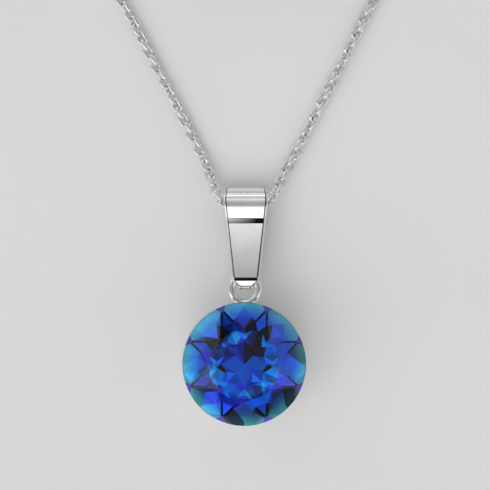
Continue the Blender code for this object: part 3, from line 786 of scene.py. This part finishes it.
def bail_half_width(y):
    """Half the bail's width along its length, narrow where it passes through the eye."""
    if y > TIP_Y:
        return WIDE_HALF_WIDTH - 0.12 * ((y - TIP_Y) / 0.6) ** 2
    if y > WAIST_Y:
        share = min(1.0, (y - WAIST_Y) / (WIDE_Y - WAIST_Y))
        return WAIST_HALF_WIDTH + (WIDE_HALF_WIDTH - WAIST_HALF_WIDTH) * share
    share = max(0.0, (y - NARROW_Y) / (WAIST_Y - NARROW_Y))
    return NARROW_HALF_WIDTH + (WAIST_HALF_WIDTH - NARROW_HALF_WIDTH) * share**0.9


def bail_section(half_width):
    """Points (x, depth below the outside) round the strip's own section."""
    rim = half_width - RIM_WIDTH
    bead = rim + RIM_GROOVE
    right = [(rim, 0.0), (rim + RIM_GROOVE / 2, RIM_GROOVE_DEPTH), (bead, 0.0)]
    for i in range(1, 9):
        a = math.pi / 2 * i / 8
        across = (half_width - bead) * math.sin(a)
        right.append((bead + across, RIM_DROP * (1 - math.cos(a))))
    right.append((half_width, BAIL_THICKNESS - BACK_BEVEL))
    right.append((half_width - BACK_BEVEL, BAIL_THICKNESS))
    left = [(-x, d) for x, d in reversed(right)]
    return right + left


def bail_finish(points, column, columns):
    """The material slot of one face: 1 painted shade in the foot's groove, 2 painted shade under the roll,
    3 painted shade beside the beads.
    """
    if column in (0, 1, columns - 3, columns - 2):
        return 3
    front = min(p.y for p in points) > FOLD_FOOT.y
    if front and column == columns - 1:
        for slot, (high, low) in ((1, FOOT_CREASE), (2, CREASE)):
            if low - 0.01 < min(p.x for p in points) and max(p.x for p in points) < high + 0.01:
                return slot
    return 0


def make_bail():
    outline = bail_outline()
    vertices = []
    count = len(outline)
    for i, point in enumerate(outline):
        ahead = (outline[(i + 1) % count] - outline[i - 1]).normalized()
        inward = Vector((ahead.y, -ahead.x))
        for x, depth in bail_section(bail_half_width(point.x)):
            at = point + inward * depth
            vertices.append((BAIL_X + x, at.x, at.y))
    size = len(vertices) // count
    faces = tube_faces(count, size)
    spans = [(outline[i], outline[(i + 1) % count]) for i in range(count)]
    slots = [bail_finish(span, column, size) for span in spans for column in range(size)]
    materials = [BAIL_SILVER, FOOT_PAINTED_SHADE, ROLL_PAINTED_SHADE, RIM_PAINTED_SHADE]
    bail = add_object("rolled_bail", vertices, faces, materials, "bail", 35)
    for face, slot in zip(bail.data.polygons, slots, strict=True):
        face.material_index = slot
    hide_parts("bail")


def make_eye():
    vertices, faces = sweep_ring(EYE_CENTRE, EYE_RING_RADIUS, EYE_WIRE_RADIUS, ((1, 0, 0), (0, 1, 0)))
    eye = add_object("eye_ring", vertices, faces, [CUP_SILVER], "pendant", 60)
    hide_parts("setting_eye")


# ---------------------------------------------------------------- clasp, rings and tie


def crumple_faces(shape, deepest):
    """Presses shallow dents into the faces."""
    for _ in range(2):
        long_edges = [e for e in shape.edges if e.calc_length() > CRUMPLE_DETAIL * MM]
        bmesh.ops.subdivide_edges(shape, edges=long_edges, cuts=1)
        bmesh.ops.triangulate(shape, faces=shape.faces)
    shape.normal_update()
    for vertex in shape.verts:
        depth = turbulence(vertex.co / (CRUMPLE_SIZE * MM), 3, False)
        vertex.co -= vertex.normal * deepest * MM * min(1.0, max(0.0, depth + 0.4))


def rounded_copy(node, name, body, material, width, crumple=0.0):
    """A piece with the node's own shape, whose edges are rounded and whose faces may be crumpled."""
    shape = bmesh.new()
    shape.from_mesh(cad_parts[node].data)
    bmesh.ops.remove_doubles(shape, verts=shape.verts, dist=1e-7)
    bmesh.ops.dissolve_limit(shape, angle_limit=math.radians(1), verts=shape.verts, edges=shape.edges)
    sharp = [e for e in shape.edges if e.is_manifold and e.calc_face_angle() > ROUNDED_FROM]
    bmesh.ops.bevel(
        shape, geom=sharp, offset=width * MM, offset_type="OFFSET", segments=3, profile=0.5,
        affect="EDGES", clamp_overlap=True,
    )
    bmesh.ops.triangulate(shape, faces=shape.faces)
    if crumple:
        crumple_faces(shape, crumple)
    mesh = bpy.data.meshes.new(name)
    shape.to_mesh(mesh)
    shape.free()
    piece = finish_mesh(name, mesh, [material], body, 40)
    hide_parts(node)
    return piece


def round_ring(node, name, body, shape):
    piece = add_object(name, *sweep_ring(*shape), [RING_SILVER], body, 60)
    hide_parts(node)
    return piece


def make_fittings():
    """The pieces that the chain carries: its clasp, rings and tie."""
    pieces = [
        round_ring("clasp_jump_ring", "clasp_ring", "jump_ring", CLASP_RING),
        round_ring("end_ring", "closing_ring", "end_ring", CLOSING_RING),
        rounded_copy("clasp_body", "clasp_shell", "clasp", CLASP_SILVER, 0.16),
        rounded_copy("clasp_lever", "clasp_gate", "clasp_lever", CLASP_SILVER, 0.12),
        rounded_copy("coil_tie", "paper_tie", "chain", PAPER, 0.03, 0.03),
    ]
    names = ("clasp_pin", "clasp_spring")
    return pieces + [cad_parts[name] for name in names]


# ---------------------------------------------------------------- carried-over nodes


def finish_nodes():
    looks = {
        "setting_cup": CUP_SILVER,
        "adhesive_bed": RESIN,
        "clasp_pin": CLASP_SILVER,
        "clasp_spring": SPRING_STEEL,
    }
    for name, material in looks.items():
        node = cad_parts[name]
        for place in node.material_slots:
            place.material = material


# ---------------------------------------------------------------- light and table

STUDIO_STRENGTH = 1.5
LENGTHWISE_LIGHT = tuple(  # angle from straight up, front is negative; brightness
    (math.radians(angle), brightness)
    for angle, brightness in (
        (-180, 0.25), (-104, 0.5), (-88, 0.7), (-84, 0.3), (-64, 0.3), (-58, 0.95), (-18, 0.95),
        (-12, 0.32), (10, 0.27), (24, 0.42), (36, 0.62), (44, 0.42), (55, 0.34), (59, 0.85),
        (69, 0.85), (72, 0.35), (79, 0.35), (82, 0.9), (90, 0.9), (180, 0.3),
    )
)
SIDEWAYS_LIGHT = (  # how far to the side, -1 to 1; brightness
    (-1.0, 0.3), (-0.92, 0.3), (-0.86, 1.0), (-0.4, 1.0), (-0.37, 0.1), (-0.3, 0.1), (-0.27, 0.95),
    (0.2, 0.9), (0.23, 0.1), (0.33, 0.1), (0.36, 0.55), (0.6, 0.6), (0.7, 0.75), (0.86, 0.7),
    (0.92, 0.3), (1.0, 0.3),
)
SIDE_WALLS = ((-0.985, 1.0), (-0.94, 0.0), (0.94, 0.0), (0.985, 1.0))  # where the tent's plain ends are
SIDE_WALL_TONE = 0.55
SKY_TURN = (math.radians(18), math.radians(-14))  # the overhead light's tilt
SKY_SOFTNESS = math.radians(55)
SKY_STRENGTH = 0.5


def make_floor():
    material, tree, shader = new_material("table")
    tone = ramp(tree, noise(tree, 60, 3.0), grey(0.87), grey(0.89))
    link_nodes(tree, tone, "Color", shader, "Base Color")
    shader.inputs["Roughness"].default_value = 0.6
    size = 2000
    corners = [(-size, -size, -0.02), (size, -size, -0.02), (size, size, -0.02), (-size, size, -0.02)]
    floor = add_object("table", corners, [(0, 1, 2, 3)], [material], None)


def studio_ramp(tree, source, output, low, high, stops):
    """A brightness that follows one value, from stops (value, brightness)."""
    spread = tree.nodes.new("ShaderNodeMapRange")
    spread.inputs["From Min"].default_value = low
    spread.inputs["From Max"].default_value = high
    link_nodes(tree, source, output, spread, "Value")
    node = tree.nodes.new("ShaderNodeValToRGB")
    elements = node.color_ramp.elements
    for k, (value, brightness) in enumerate(stops):
        place = (value - low) / (high - low)
        element = elements[k] if k < 2 else elements.new(place)
        element.position = place
        element.color = grey(brightness)
    link_nodes(tree, spread, "Result", node, "Fac")
    return node


def make_studio():
    """A light tent that changes from the front over the top to the back, and from side to side."""
    world = bpy.data.worlds.new("studio")
    world.use_nodes = True
    tree = world.node_tree
    place = tree.nodes.new("ShaderNodeTexCoord")
    axes = tree.nodes.new("ShaderNodeSeparateXYZ")
    link_nodes(tree, place, "Generated", axes, "Vector")
    turn = tree.nodes.new("ShaderNodeMath")
    turn.operation = "ARCTAN2"
    link_nodes(tree, axes, "Y", turn, 0)
    link_nodes(tree, axes, "Z", turn, 1)
    lengthwise = studio_ramp(tree, turn, "Value", -math.pi, math.pi, LENGTHWISE_LIGHT)
    sideways = studio_ramp(tree, axes, "X", -1.0, 1.0, SIDEWAYS_LIGHT)
    both = mixed(tree, lengthwise.outputs["Color"], sideways.outputs["Color"])
    wall = tree.nodes.new("ShaderNodeRGB").outputs["Color"]
    wall.default_value = grey(SIDE_WALL_TONE)
    ends = studio_ramp(tree, axes, "X", -1.0, 1.0, SIDE_WALLS)
    background = tree.nodes["Background"]
    colour = mixed(tree, both, wall, ends.outputs["Color"])
    tree.links.new(colour, background.inputs["Color"])
    background.inputs["Strength"].default_value = STUDIO_STRENGTH
    bpy.context.scene.world = world
    bpy.context.scene.view_settings.view_transform = "Standard"


def make_sky():
    """A broad soft light from overhead, which gives the table its shadows and no hot spots on metal."""
    light = bpy.data.lights.new("sky", "SUN")
    light.energy = SKY_STRENGTH
    light.angle = SKY_SOFTNESS
    item = bpy.data.objects.new("sky", light)
    item.rotation_euler = (*SKY_TURN, 0)
    item.visible_glossy = False
    item.visible_transmission = False
    bpy.context.scene.collection.objects.link(item)


make_camera()
make_chain(make_fittings())
make_stone()
make_bail()
make_eye()
finish_nodes()
make_floor()
make_studio()
make_sky()
